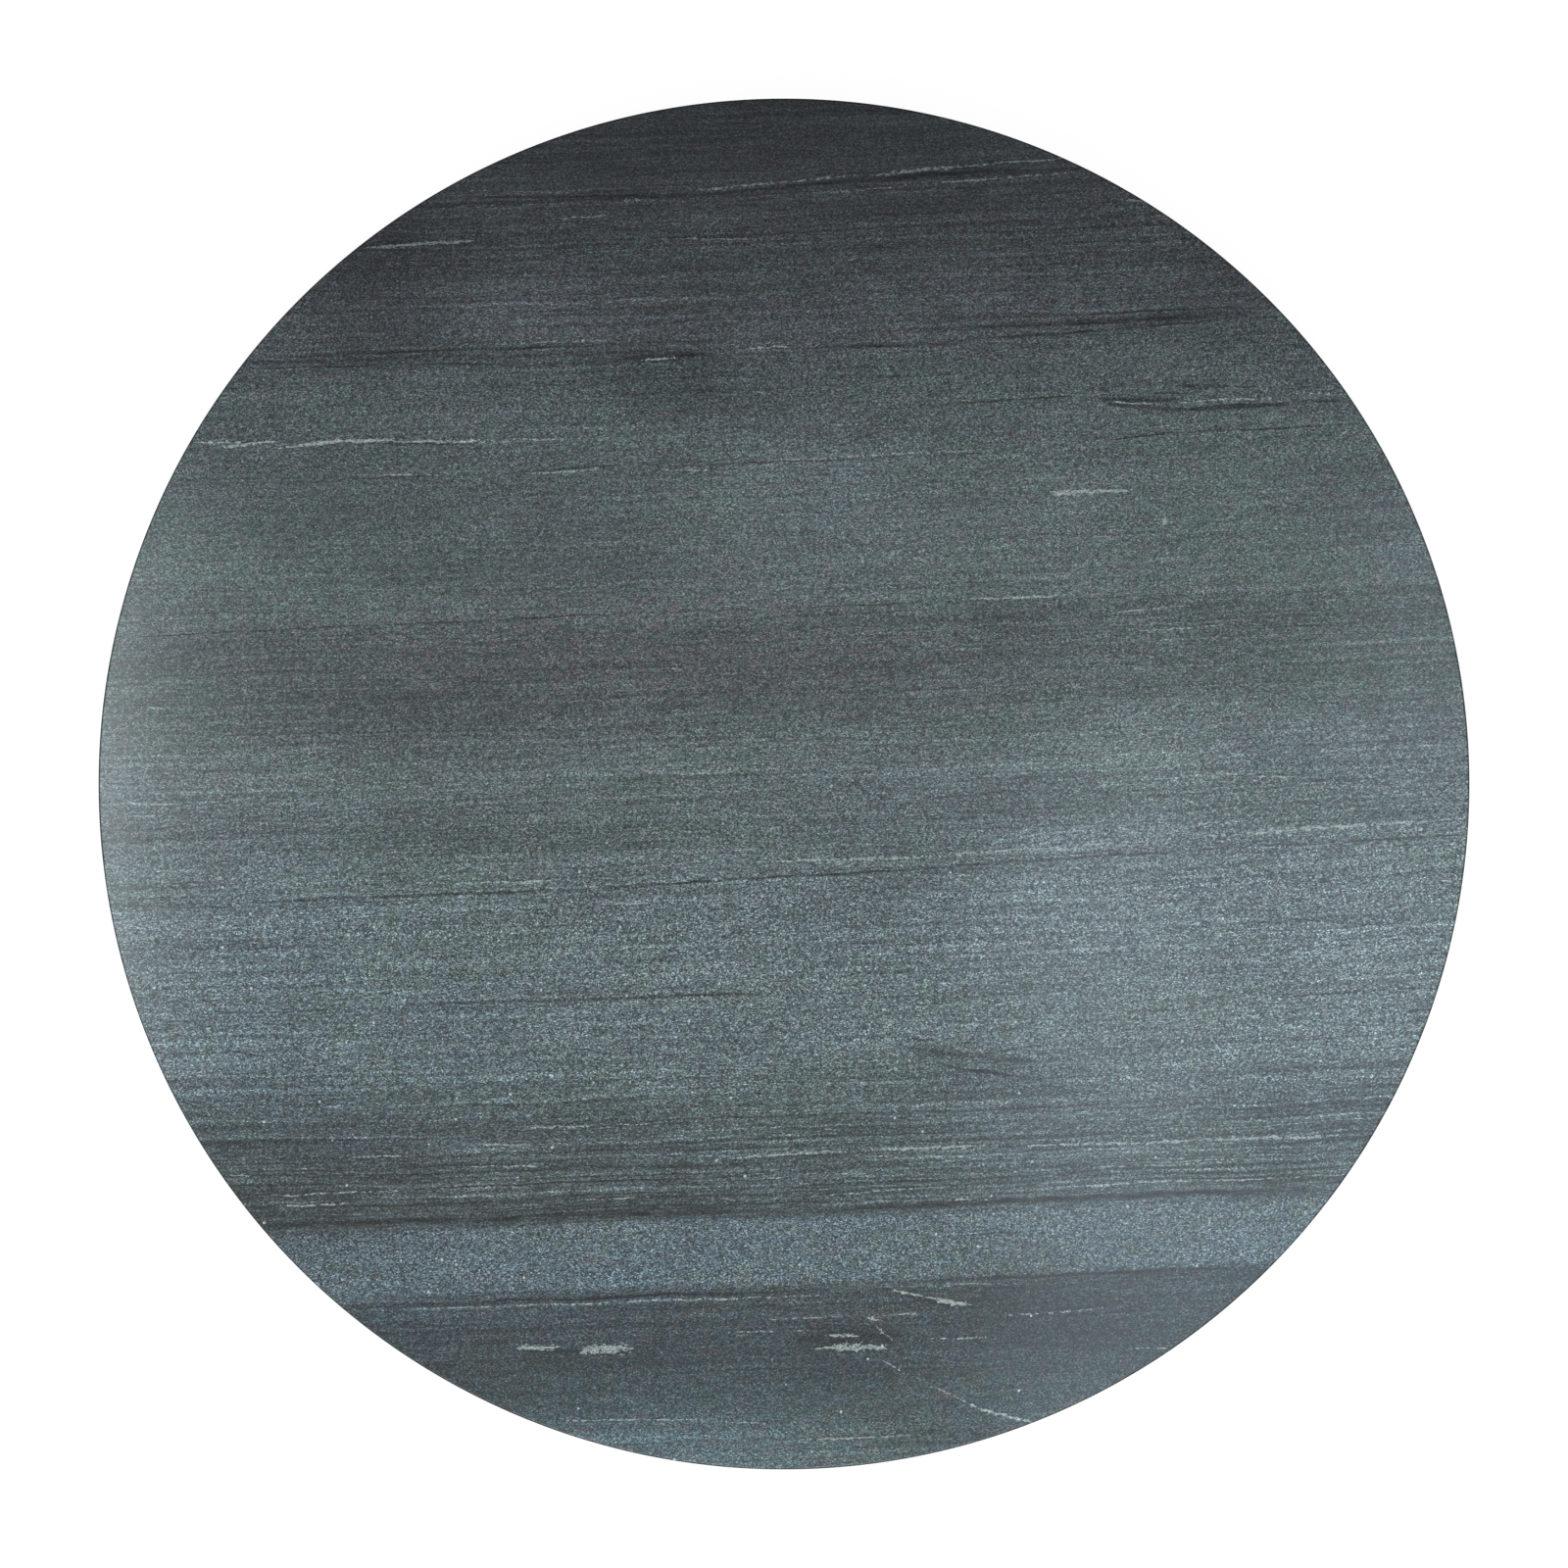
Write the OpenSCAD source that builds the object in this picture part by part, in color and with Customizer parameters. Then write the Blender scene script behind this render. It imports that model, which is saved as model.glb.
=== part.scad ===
// Round table top of bedded stone, honed, on a bonded plywood panel.
// It lies face up. The origin is on its underside, at the centre, and +Z is up.
// Millimetres.

/* [Stone] */
// Diameter of the stone disc
stone_d = 900; // [700:10:1200]
// Thickness of the stone disc
stone_t = 20; // [15:1:30]
// Radius of the eased edge round the face and round the back
arris_r = 1.5; // [0.5:0.5:4]

/* [Mesh backing] */
// Thickness of the glass mesh and its resin
mesh_t = 1; // [0.5:0.5:2]
// Bare margin from the mesh to the edge of the stone
mesh_margin = 8; // [5:1:20]

/* [Support panel] */
// Thickness of the plywood
panel_t = 18; // [15:1:24]
// How far the panel stands back from the edge of the stone
panel_setback = 70; // [40:5:100]
// Width of the slope under the panel's edge
bevel_w = 24; // [10:1:30]
// Upright edge that the slope leaves
bevel_land = 5; // [3:1:10]

/* [Threaded inserts] */
// Number of inserts
insert_count = 4; // [3:1:8]
// Diameter of the circle that the inserts stand on
insert_pcd = 400; // [200:10:420]
// Diameter of an insert's body
insert_d = 12; // [11:0.5:14]
// Length of an insert
insert_l = 14; // [12:1:14]
// Diameter of the flange
flange_d = 18; // [16:0.5:22]
// Thickness of the flange
flange_t = 1.5; // [1:0.5:2]
// Diameter of the bore, the tapping size of an M8 thread
bore_d = 6.8; // [6.6:0.1:7]
// Width of the hexagon socket that drives the insert, flat to flat
hex_w = 8; // [7.5:0.5:8]
// Depth of the hexagon socket
hex_depth = 4; // [3:0.5:5]

/* [Hidden] */
$fn = 180;

// Radii of the three discs
stone_r = stone_d / 2;
mesh_r = stone_r - mesh_margin;
panel_r = stone_r - panel_setback;

// Heights of the layers, from the underside up
mesh_z = panel_t;
stone_z = mesh_z + mesh_t;

// The flanges sit this far inside the panel, so that the plywood carries the load
flange_recess = 0.3;
// The foot of an insert narrows over this length, to start it in its hole
lead_l = 1.5;
// First insert's direction, between the two axes of the top
insert_start = 45;
// A cut runs this far past the face that it opens
past = 1;

// Half the section of a disc with both edges eased
module eased_section(r, t, ease) {
    square([r - ease, t]);
    translate([0, ease]) square([r, t - 2 * ease]);
    for (z = [ease, t - ease]) translate([r - ease, z]) circle(ease);
}

// Puts its child at every insert's place
module at_inserts() {
    for (i = [0 : insert_count - 1])
        rotate(insert_start + i * 360 / insert_count)
            translate([insert_pcd / 2, 0, 0]) children();
}

// Stone disc, sawn across its bedding and honed flat
module stone_top() {
    color("#5c666a")
        translate([0, 0, stone_z])
            rotate_extrude() eased_section(stone_r, stone_t, arris_r);
}

// Glass mesh laid in resin over the back of the stone
module mesh_backing() {
    color("#b9b7a6")
        translate([0, 0, mesh_z]) cylinder(r = mesh_r, h = mesh_t);
}

// Plywood disc with a long slope under its edge, bored and counterbored for the inserts
module support_panel() {
    color("#b08c5f")
        difference() {
            rotate_extrude()
                polygon([
                    [0, 0],
                    [panel_r - bevel_w, 0],
                    [panel_r, panel_t - bevel_land],
                    [panel_r, panel_t],
                    [0, panel_t],
                ]);
            at_inserts() {
                translate([0, 0, -past]) cylinder(d = insert_d, h = panel_t + 2 * past);
                translate([0, 0, -past]) cylinder(d = flange_d, h = past + flange_recess + flange_t);
            }
        }
}

// One flanged insert, mouth down: socket, bore and a narrowed foot
module insert() {
    difference() {
        union() {
            cylinder(d = flange_d, h = flange_t);
            cylinder(d = insert_d, h = insert_l - lead_l);
            translate([0, 0, insert_l - lead_l])
                cylinder(d1 = insert_d, d2 = insert_d - lead_l, h = lead_l);
        }
        translate([0, 0, -past]) cylinder(d = bore_d, h = insert_l + 2 * past);
        translate([0, 0, -past]) cylinder(r = hex_w / sqrt(3), h = past + hex_depth, $fn = 6);
    }
}

// The inserts, driven up into the panel until their flanges are below its face
module threaded_inserts() {
    color("#c2a35a")
        at_inserts() translate([0, 0, flange_recess]) insert();
}

stone_top();
mesh_backing();
support_panel();
threaded_inserts();
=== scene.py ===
import math

import bpy
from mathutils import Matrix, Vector


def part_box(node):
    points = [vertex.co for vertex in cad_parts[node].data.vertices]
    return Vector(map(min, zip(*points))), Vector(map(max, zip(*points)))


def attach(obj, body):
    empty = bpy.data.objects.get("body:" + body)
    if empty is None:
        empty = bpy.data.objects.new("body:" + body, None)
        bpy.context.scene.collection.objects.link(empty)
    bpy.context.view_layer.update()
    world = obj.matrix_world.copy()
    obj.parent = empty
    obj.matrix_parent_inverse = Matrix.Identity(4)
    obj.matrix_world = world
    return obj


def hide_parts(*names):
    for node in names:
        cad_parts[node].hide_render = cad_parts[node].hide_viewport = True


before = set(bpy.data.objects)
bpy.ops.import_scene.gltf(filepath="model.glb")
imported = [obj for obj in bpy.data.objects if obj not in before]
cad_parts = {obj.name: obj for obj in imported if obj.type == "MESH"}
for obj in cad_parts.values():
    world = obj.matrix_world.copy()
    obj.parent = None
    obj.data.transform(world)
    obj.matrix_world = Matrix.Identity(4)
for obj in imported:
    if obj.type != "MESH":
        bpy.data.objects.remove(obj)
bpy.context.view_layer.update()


# Stone top: a disc of dark bedded stone, sawn across its layers, so that they show as bands and lines.
# The face is honed flat, the edges are eased by hand and have a few small nicks.
# It lies on its mesh backing, which holds it together along the layers.

stone_low, stone_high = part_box("stone_top")
stone_radius = stone_high.x
stone_thickness = stone_high.z - stone_low.z
arris = 0.0015
nick_depth = 0.0005
nick_length = 0.009
segments = 640
face_rings, arris_rings, wall_rings, back_rings = 90, 8, 4, 8


class Wire:
    """A node's output. Arithmetic on wires adds Math nodes to their tree."""

    def __init__(self, socket):
        self.socket = socket

    def node(self, kind, settings, sockets, output=0):
        """Adds a node: its settings first, then the values or links of its sockets."""
        tree = self.socket.id_data
        made = tree.nodes.new(kind)
        for name, value in settings.items():
            if name == "stops":
                ramp = made.color_ramp
                while len(ramp.elements) < len(value):
                    ramp.elements.new(1.0)
                for element, (position, colour) in zip(ramp.elements, value):
                    element.position = position
                    element.color = (*colour, 1.0)
            else:
                setattr(made, name, value)
        for key, value in sockets.items():
            if isinstance(value, Wire):
                tree.links.new(value.socket, made.inputs[key])
            else:
                made.inputs[key].default_value = value
        return Wire(made.outputs[output])

    def other(self, output):
        """Another output of the same node."""
        return Wire(self.socket.node.outputs[output])

    def math(self, operation, *others):
        values = dict(enumerate((self, *others)))
        return self.node("ShaderNodeMath", {"operation": operation}, values)

    def __add__(self, other):
        return self.math("ADD", other)

    def __sub__(self, other):
        return self.math("SUBTRACT", other)

    def __mul__(self, other):
        return self.math("MULTIPLY", other)

    def __truediv__(self, other):
        return self.math("DIVIDE", other)

    def __radd__(self, other):
        return self + other

    def __rmul__(self, other):
        return self * other

    def __rsub__(self, other):
        return self.node("ShaderNodeMath", {"operation": "SUBTRACT"}, {0: other, 1: self})

    def __rtruediv__(self, other):
        return self.node("ShaderNodeMath", {"operation": "DIVIDE"}, {0: other, 1: self})

    def __abs__(self):
        return self.math("ABSOLUTE")

    def between(self, low, high):
        """0 up to low, 1 from high on, and straight between them."""
        return self.node("ShaderNodeMapRange", {}, {0: self, 1: low, 2: high})

    def eased(self, low, high):
        """As between, with soft ends."""
        soft = {"interpolation_type": "SMOOTHSTEP"}
        return self.node("ShaderNodeMapRange", soft, {0: self, 1: low, 2: high})

    def split(self):
        made = self.node("ShaderNodeSeparateXYZ", {}, {0: self})
        return [made, made.other(1), made.other(2)]

    def joined(self, y, z):
        return self.node("ShaderNodeCombineXYZ", {}, {0: self, 1: y, 2: z})

    def vector(self, operation, *others):
        values = dict(enumerate((self, *others)))
        return self.node("ShaderNodeVectorMath", {"operation": operation}, values)

    def beside(self, *shapes):
        """This geometry and others as one."""
        made = self.node("GeometryNodeJoinGeometry", {}, {0: self})
        for shape in shapes:
            self.socket.id_data.links.new(shape.socket, made.socket.node.inputs[0])
        return made

    def scaled(self, factor):
        """A vector or a colour times a number."""
        return self.node("ShaderNodeVectorMath", {"operation": "SCALE"}, {0: self, "Scale": factor})

    def blend(self, first, second):
        """Two colours, mixed by this share of the second."""
        return self.node("ShaderNodeMix", {"data_type": "RGBA"}, {0: self, 6: first, 7: second}, 2)


def geometry_tree(name, sizes):
    """The wires of a new geometry tree's named inputs, one for each size."""
    tree = bpy.data.node_groups.new(name, "GeometryNodeTree")
    for size, value in sizes.items():
        socket = tree.interface.new_socket(size, in_out="INPUT", socket_type="NodeSocketFloat")
        socket.default_value = value
    tree.interface.new_socket("Geometry", in_out="OUTPUT", socket_type="NodeSocketGeometry")
    inputs = tree.nodes.new("NodeGroupInput")
    return [Wire(inputs.outputs[size]) for size in sizes]


def grown(name, last, sizes, material):
    """The plain mesh object that a geometry tree makes, where last is its final shape."""
    real = last.node("GeometryNodeRealizeInstances", {}, {0: last})
    dressed = real.node("GeometryNodeSetMaterial", {}, {0: real, "Material": material})
    tree = dressed.socket.id_data
    tree.links.new(dressed.socket, tree.nodes.new("NodeGroupOutput").inputs[0])
    piece = bpy.data.objects.new(name, bpy.data.meshes.new(name))
    bpy.context.scene.collection.objects.link(piece)
    modifier = piece.modifiers.new("shape", "NODES")
    modifier.node_group = tree
    for item in tree.interface.items_tree:
        if item.in_out == "INPUT":
            modifier[item.identifier] = sizes[item.name]
    evaluated = piece.evaluated_get(bpy.context.evaluated_depsgraph_get())
    piece_mesh = bpy.data.meshes.new_from_object(evaluated)
    # The first slot is the empty one of the bare object.
    piece_mesh.materials.pop(index=0)
    piece.modifiers.remove(modifier)
    piece.data = piece_mesh
    return piece


def finish_of(name):
    """A new material, the wire of its Object coordinates in millimetres and its shader."""
    material = bpy.data.materials.new(name)
    material.use_nodes = True
    nodes = material.node_tree.nodes
    place = Wire(nodes.new("ShaderNodeTexCoord").outputs["Object"])
    return material, place.scaled(1000.0), nodes["Principled BSDF"]


def feed(shader, name, wire):
    shader.id_data.links.new(wire.socket, shader.inputs[name])


# Lengths in this finish are millimetres on the face, x to the right and y away from the front.
honed_stone, spot, stone_shader = finish_of("honed_stone")
x, y, z = spot.split()
stone_tilt = 0.038
stone_bend = 0.00002
stone_lean = 0.4
depth = stone_high.z * 1000 - z
level = y + depth * stone_lean


def streaks(along, across, length, thickness, seed, detail):
    """Noise drawn out in streaks of this length and thickness."""
    at = (along / length + seed).joined(across / thickness, 0.0)
    sockets = {"Vector": at, "Scale": 1.0, "Detail": detail}
    return at.node("ShaderNodeTexNoise", {"noise_dimensions": "2D"}, sockets)


# The beds tilt and bend from side to side, and they wave, ripple and tremble on the way.
wave_height, ripple_height, tremor_height = 6.0, 3.0, 1.8
tremor_reach = 5.0
wave = streaks(x, level, length=260.0, thickness=120.0, seed=3.0, detail=1.0) - 0.5
ripple = streaks(x, level, length=55.0, thickness=22.0, seed=11.0, detail=2.0) - 0.5
tremor = streaks(x, level, length=13.0, thickness=7.0, seed=17.0, detail=3.0) - 0.5
wavy = level + ripple * ripple_height + tremor * tremor_height
bed = wavy - x * (stone_tilt + x * stone_bend) + wave * wave_height
wander = x + tremor * tremor_reach
wander_three = wander.joined(wander, wander)
wavy_three = wavy.joined(wavy, wavy)

# Each bed from the front of the face to its back: level, lightness, lamination and grain.
beds = [
    (-450, 0.099, 0.25, 0.8),
    (-424, 0.083, 0.3, 0.95),
    (-408, 0.060, 0.2, 0.88),
    (-392, 0.046, 0.2, 0.88),
    (-376, 0.040, 0.28, 0.88),
    (-331, 0.047, 0.5, 0.95),
    (-328, 0.086, 0.1, 1.1),
    (-286, 0.085, 0.1, 1.1),
    (-283, 0.050, 0.7, 0.8),
    (-273, 0.055, 0.85, 0.9),
    (-255, 0.063, 0.75, 0.95),
    (-242, 0.061, 0.7, 0.95),
    (-228, 0.063, 0.7, 0.95),
    (-212, 0.071, 0.5, 1.0),
    (-172, 0.094, 0.3, 1.05),
    (-75, 0.096, 0.34, 1.05),
    (-58, 0.091, 0.34, 0.95),
    (-46, 0.094, 0.34, 0.95),
    (-30, 0.082, 0.34, 0.95),
    (-8, 0.087, 0.34, 0.9),
    (5, 0.098, 0.33, 0.86),
    (32, 0.094, 0.33, 0.86),
    (50, 0.080, 0.31, 0.82),
    (106, 0.075, 0.31, 0.82),
    (116, 0.098, 0.25, 0.77),
    (197, 0.094, 0.2, 0.77),
    (226, 0.084, 0.2, 0.82),
    (262, 0.067, 0.22, 0.87),
    (300, 0.056, 0.36, 0.84),
    (362, 0.038, 0.45, 0.84),
    (400, 0.0335, 0.4, 0.65),
    (450, 0.023, 0.4, 0.65),
]
bed_span = 920.0
bed_place = bed / bed_span + 0.5


def bed_stops(rows):
    """A ramp's stops over all the beds, from rows that begin with a level."""
    return [(at / bed_span + 0.5, colour) for at, *colour in rows]


layers = bed_place.node("ShaderNodeValToRGB", {"stops": bed_stops(beds)}, {0: bed_place})
lightness, lamination, graininess = layers.split()

# What shows within a bed, from long laminae to single grains.
grain_length, grain_height, grain_depth = 0.8, 0.48, 0.65
laminae = streaks(x, bed, length=150.0, thickness=4.5, seed=23.0, detail=3.0) - 0.5
threads = streaks(x, bed, length=260.0, thickness=1.9, seed=53.0, detail=2.0)
dashes = streaks(x, bed, length=22.0, thickness=1.2, seed=31.0, detail=2.0) - 0.5
mottle = streaks(x, bed, length=38.0, thickness=14.0, seed=61.0, detail=3.0) - 0.5
grain_at = (x / grain_length).joined(bed / grain_height, z / grain_depth)
grain_cell = grain_at.node("ShaderNodeTexVoronoi", {}, {"Vector": grain_at, "Scale": 1.0})
light_dice, tint_dice, vein_dice = grain_cell.other("Color").split()
grain = light_dice - 0.5


def patches(ovals):
    """The sum of soft ovals on the face, three to each vector node.

    An oval has its middle, half its width, half its height and its strength.
    """
    total = 0.0
    for first in range(0, len(ovals), 3):
        trio = (ovals[first : first + 3] + [(0, 0, 1, 1, 0)] * 2)[:3]
        wide = [1 / oval[2] for oval in trio]
        high = [1 / oval[3] for oval in trio]
        side = wander_three.vector("MULTIPLY_ADD", wide, [-oval[0] / oval[2] for oval in trio])
        rise = wavy_three.vector("MULTIPLY_ADD", high, [-oval[1] / oval[3] for oval in trio])
        far = rise.vector("MULTIPLY_ADD", rise, side.vector("MULTIPLY", side))
        near = far.vector("MULTIPLY_ADD", (-1, -1, -1), (1, 1, 1)).vector("MAXIMUM", (0, 0, 0))
        share = near.vector("MULTIPLY", near)
        strengths = [oval[4] for oval in trio]
        terms = {0: share, 1: strengths}
        total = total + share.node("ShaderNodeVectorMath", {"operation": "DOT_PRODUCT"}, terms, 1)
    return total


# Where the face is made lighter or darker: partly the stone clouding over, partly painted shade and light
# that even out the lamps' sheen, such as the oval at (300, -105) that dims the sheen on the right.
cloud_and_shade_ovals = [
    (-170, 155, 230, 95, -0.22),
    (10, 180, 140, 75, 0.15),
    (260, 150, 240, 110, 0.05),
    (-170, 60, 300, 70, -0.17),
    (-250, 45, 100, 45, -0.18),
    (-110, 95, 60, 50, 0.13),
    (-320, 212, 120, 32, -0.14),
    (-165, 314, 100, 36, 0.3),
    (-262, 347, 95, 55, -0.4),
    (-270, 285, 90, 30, -0.15),
    (-70, 262, 85, 50, -0.3),
    (-330, 180, 130, 60, -0.16),
    (205, 300, 80, 60, 0.14),
    (300, 345, 60, 50, -0.25),
    (140, 108, 70, 45, -0.14),
    (240, 15, 90, 80, 0.24),
    (-170, -30, 160, 26, -0.25),
    (-200, -120, 110, 55, -0.12),
    (-130, -228, 140, 40, -0.2),
    (130, -195, 90, 40, -0.15),
    (-335, -262, 160, 90, -0.32),
    (170, -340, 110, 55, -0.45),
    (50, -375, 80, 40, -0.16),
    (120, -425, 110, 45, -0.36),
    (-375, -50, 90, 45, 0.14),
    (-220, 330, 50, 30, 0.12),
    (20, -130, 70, 60, 0.06),
    (300, -105, 60, 75, -0.12),
    (360, 180, 70, 60, -0.1),
    (-275, 300, 55, 30, -0.1),
]
drift = streaks(x, bed, length=70.0, thickness=45.0, seed=89.0, detail=2.0) - 0.5
cloudy_and_shaded = 1.0 + patches(cloud_and_shade_ovals) + drift * 0.27

hairlines = threads.eased(0.43, 0.33) * 0.7 - threads.eased(0.57, 0.68) * 0.8
flecks = dashes.eased(-0.09, -0.2) * 0.6 - dashes.eased(0.06, 0.16) * 0.6
bedded = lamination * (0.1 + laminae * 2.0 + dashes * 0.8 + mottle * 0.7 + hairlines + flecks)
grained = graininess * (grain * 2.75 + light_dice.between(0.92, 1.0) * 0.4 - 0.05)

# Under the lamps' sheen on the right, the middle beds get a stronger grain: painted sheen texture.
sheen_grain_share = x.between(100.0, 300.0) * bed.between(20.0, -60.0) * bed.between(-280.0, -200.0)
sheen_grain_contrast = 1.0 + sheen_grain_share * 0.1
tone = lightness * ((bedded + grained) * sheen_grain_contrast).math("EXPONENT") * cloudy_and_shaded


def line_terms(start_x, start_y, end_x, end_y, thickness, strength):
    """What takes a spot to its place along a line, -1 to 1, and off it, in halves of its thickness."""
    slope = (end_y - start_y) / (end_x - start_x)
    reach = 2 / (end_x - start_x)
    narrow = 2 / thickness
    middle = (start_x + end_x) / 2
    rise = (slope * start_x - start_y) * narrow
    return reach, -reach * middle, -slope * narrow, rise, narrow, 1 - strength


def nearest_of(lines):
    """How far a spot is from the nearest of these lines: 0 along its middle and 1 at its edge.

    A line has its two ends, its thickness and its strength.
    It tapers to its ends, and a weak one stays above 0.
    Three lines share each vector node.
    """
    nearest = None
    for first in range(0, len(lines), 3):
        trio = [line_terms(*line) for line in (lines[first : first + 3] * 3)[:3]]
        reach, shift, slant, rise, narrow, faint = zip(*trio)
        along = wander_three.vector("MULTIPLY_ADD", reach, shift)
        climb = wander_three.vector("MULTIPLY_ADD", slant, rise)
        off = wavy_three.vector("MULTIPLY_ADD", narrow, climb).vector("ABSOLUTE")
        squared = along.vector("MULTIPLY", along)
        here = squared.vector("MULTIPLY_ADD", squared, off).vector("ADD", faint)
        nearest = nearest.vector("MINIMUM", here) if nearest else here
    one, two, three = nearest.split()
    return one.math("MINIMUM", two).math("MINIMUM", three)


# Seams of dark clay between the beds: start, end, thickness and strength.
clay_seams = [
    (-240, 384, -50, 386, 4, 0.6),
    (-70, 386, 205, 408, 5, 0.75),
    (-440, 274, -20, 286, 14, 0.4),
    (-360, 279, -110, 288, 3, 0.8),
    (-360, 272, -160, 277, 3, 0.8),
    (-108, 279, -46, 283, 6, 0.9),
    (5, 286, 135, 290, 5, 0.75),
    (105, 290, 305, 306, 5, 0.65),
    (120, 305, 335, 314, 3, 0.65),
    (90, 298, 340, 310, 16, 0.55),
    (-295, 200, -205, 203, 2, 0.7),
    (-190, 205, -95, 209, 2, 0.8),
    (-105, 208, 75, 214, 2, 0.7),
    (90, 249, 200, 255, 2, 0.9),
    (205, 252, 262, 253, 4, 1.0),
    (252, 251, 300, 254, 2, 0.7),
    (208, 250, 272, 245, 4.5, 1.0),
    (256, 245, 326, 250, 4.5, 1.0),
    (300, 248, 384, 253, 4, 0.9),
    (238, 257, 266, 257, 2, 0.8),
    (258, 261, 294, 261, 4, 0.9),
    (293, 260, 313, 260, 2, 0.7),
    (337, 261, 357, 261, 2, 0.7),
    (-290, 223, -195, 223, 2, 0.7),
    (206, 225, 260, 231, 2, 0.8),
    (240, 230, 390, 236, 2, 0.9),
    (-110, 111, 125, 120, 2, 0.7),
    (-442, 96, -250, 105, 2, 0.8),
    (-275, 104, -95, 112, 2, 0.8),
    (260, 104, 416, 104, 2, 0.5),
    (-445, -80, -340, -80, 5, 0.6),
    (-375, -79, -120, -68, 3, 0.9),
    (-190, -72, 130, -53.5, 3, 0.8),
    (80, -56, 290, -42, 3, 0.95),
    (235, -45, 460, -33, 3, 0.9),
    (-360, -109, -328, -106, 2, 0.7),
    (300, -86, 415, -95, 2, 0.7),
    (310, -141, 432, -132, 2, 0.8),
    (406, -149, 430, -149, 3, 0.9),
    (218, -149, 264, -148, 4, 0.7),
    (-420, -152, -260, -147, 3, 0.6),
    (-290, -146, 35, -136, 4, 0.7),
    (-370, -175, -330, -181, 3, 0.7),
    (60, -172, 185, -184, 18, 0.5),
    (78, -168, 102, -168, 3, 0.9),
    (100, -184, 165, -194, 3, 0.9),
    (118, -178, 165, -172, 3, 0.7),
    (-380, -291, 20, -279, 9, 0.75),
    (-20, -280, 380, -264, 8, 0.7),
    (-350, -279, 150, -264, 3, 0.8),
    (-300, -268, 60, -253, 3, 0.6),
    (92, -298, 170, -294, 2, 0.7),
    (-305, -343, 75, -330, 3, 0.75),
    (66, -327, 340, -315, 4, 0.8),
    (0, -364, 88, -364, 30, 0.7),
    (-190, -371, -85, -373, 12, 0.5),
    (64, -334, 130, -343, 12, 0.6),
]

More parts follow.
